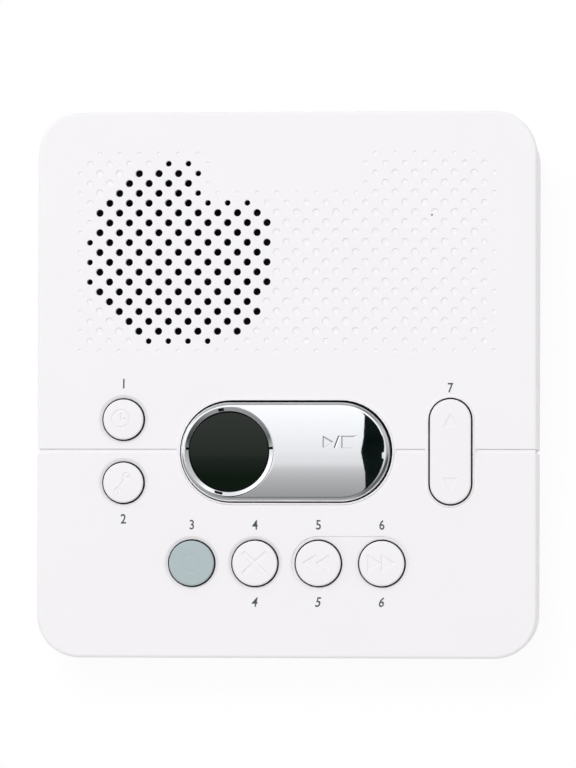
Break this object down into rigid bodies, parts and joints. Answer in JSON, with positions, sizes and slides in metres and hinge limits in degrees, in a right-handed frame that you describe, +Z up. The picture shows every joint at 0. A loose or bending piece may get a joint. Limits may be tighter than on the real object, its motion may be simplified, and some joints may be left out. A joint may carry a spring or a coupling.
{
  "type": "answering machine",
  "caption": "Wedge-shaped desktop answering machine with a dotted speaker grille, round push keys, a volume rocker and a chrome play bar round a display window.",
  "frame": {"origin": "on the table under the middle of the body, at the underside of the rubber feet", "axes": "+Z up, +X to the user's right, +Y to the rear, away from the user; the face slopes up to the rear"},
  "size_m": [0.1346, 0.1513, 0.0461],
  "materials": {
    "white_plastic": "satin moulded",
    "key_plastic": "satin moulded",
    "grey_key": "translucent satin",
    "chrome_plating": "polished plating",
    "smoked_window": "polished smoked acrylic",
    "foot_rubber": "matte",
    "foam": "matte foam",
    "cone_paper": "matte pressed",
    "ferrite": "matte sintered",
    "circuit_board": "solder mask",
    "plated_steel": "zinc plated",
    "contact_brass": "gold plated",
    "black_plastic": "moulded",
    "can_sleeve": "shrunk sleeve",
    "cable_vinyl": "vinyl",
    "lead_vinyl": "vinyl"
  },
  "bodies": {
    "housing": {"top_housing": "white_plastic", "bottom_housing": "white_plastic", "rubber_feet": "foot_rubber", "housing_screws": "plated_steel", "display_ring": "chrome_plating", "display_lens": "smoked_window", "display_module": "black_plastic", "key_board": "circuit_board", "key_board_screws": "plated_steel", "clock_switch": "black_plastic", "setup_switch": "black_plastic", "on_off_switch": "black_plastic", "delete_switch": "black_plastic", "memo_repeat_switch": "black_plastic", "announce_skip_switch": "black_plastic", "volume_up_switch": "black_plastic", "volume_down_switch": "black_plastic", "play_stop_switch": "black_plastic", "speaker_frame": "plated_steel", "speaker_magnet": "ferrite", "speaker_cone": "cone_paper", "speaker_dust_cap": "cone_paper", "speaker_gasket": "foam", "speaker_clips": "plated_steel", "speaker_clip_screws": "plated_steel", "microphone": "plated_steel", "microphone_boot": "foot_rubber", "main_board": "circuit_board", "main_board_screws": "plated_steel", "processor_chip": "black_plastic", "memory_chip": "black_plastic", "line_transformer": "black_plastic", "capacitors": "can_sleeve", "crystal": "plated_steel", "line_jack": "black_plastic", "phone_jack": "black_plastic", "jack_contacts": "contact_brass", "power_inlet": "black_plastic", "power_inlet_pin": "plated_steel", "ribbon_cable": "cable_vinyl", "ribbon_sockets": "black_plastic", "speaker_leads": "lead_vinyl", "microphone_leads": "lead_vinyl", "battery_leads": "lead_vinyl", "battery_contact_block": "black_plastic", "battery_snaps": "plated_steel"},
    "clock_key": {"clock_button": "key_plastic"},
    "setup_key": {"setup_button": "key_plastic"},
    "on_off_key": {"on_off_button": "grey_key"},
    "delete_key": {"delete_button": "key_plastic"},
    "memo_repeat_key": {"memo_repeat_button": "key_plastic"},
    "announce_skip_key": {"announce_skip_button": "key_plastic"},
    "volume_key": {"volume_rocker": "key_plastic"},
    "play_bar": {"play_stop_button": "chrome_plating"},
    "bay_door": {"battery_door": "white_plastic"}
  },
  "joints": [
    {"name": "clock_press", "type": "slide", "parent": "housing", "child": "clock_key", "axis": [0, 0.1271, -0.9919], "range_m": [0, 0.0006], "stiffness_N_per_m": 1000, "springref_m": -0.0005},
    {"name": "setup_press", "type": "slide", "parent": "housing", "child": "setup_key", "axis": [0, 0.1271, -0.9919], "range_m": [0, 0.0006], "stiffness_N_per_m": 1000, "springref_m": -0.0005},
    {"name": "on_off_press", "type": "slide", "parent": "housing", "child": "on_off_key", "axis": [0, 0.1271, -0.9919], "range_m": [0, 0.0006], "stiffness_N_per_m": 1000, "springref_m": -0.0005},
    {"name": "delete_press", "type": "slide", "parent": "housing", "child": "delete_key", "axis": [0, 0.1271, -0.9919], "range_m": [0, 0.0006], "stiffness_N_per_m": 1000, "springref_m": -0.0005},
    {"name": "memo_repeat_press", "type": "slide", "parent": "housing", "child": "memo_repeat_key", "axis": [0, 0.1271, -0.9919], "range_m": [0, 0.0006], "stiffness_N_per_m": 1000, "springref_m": -0.0005},
    {"name": "announce_skip_press", "type": "slide", "parent": "housing", "child": "announce_skip_key", "axis": [0, 0.1271, -0.9919], "range_m": [0, 0.0006], "stiffness_N_per_m": 1000, "springref_m": -0.0005},
    {"name": "play_stop_press", "type": "slide", "parent": "housing", "child": "play_bar", "axis": [0, 0.1271, -0.9919], "range_m": [0, 0.0006], "stiffness_N_per_m": 1500, "springref_m": -0.0005},
    {"name": "volume_rock", "type": "hinge", "parent": "housing", "child": "volume_key", "pos_m": [0.04415, -0.02028, 0.03037], "axis": [1, 0, 0], "range_deg": [-3.5, 3.5], "stiffness_Nm_per_rad": 0.2},
    {"name": "battery_door_slide", "type": "slide", "parent": "housing", "child": "bay_door", "axis": [0, 1, 0], "range_m": [0, 0.06]}
  ]
}
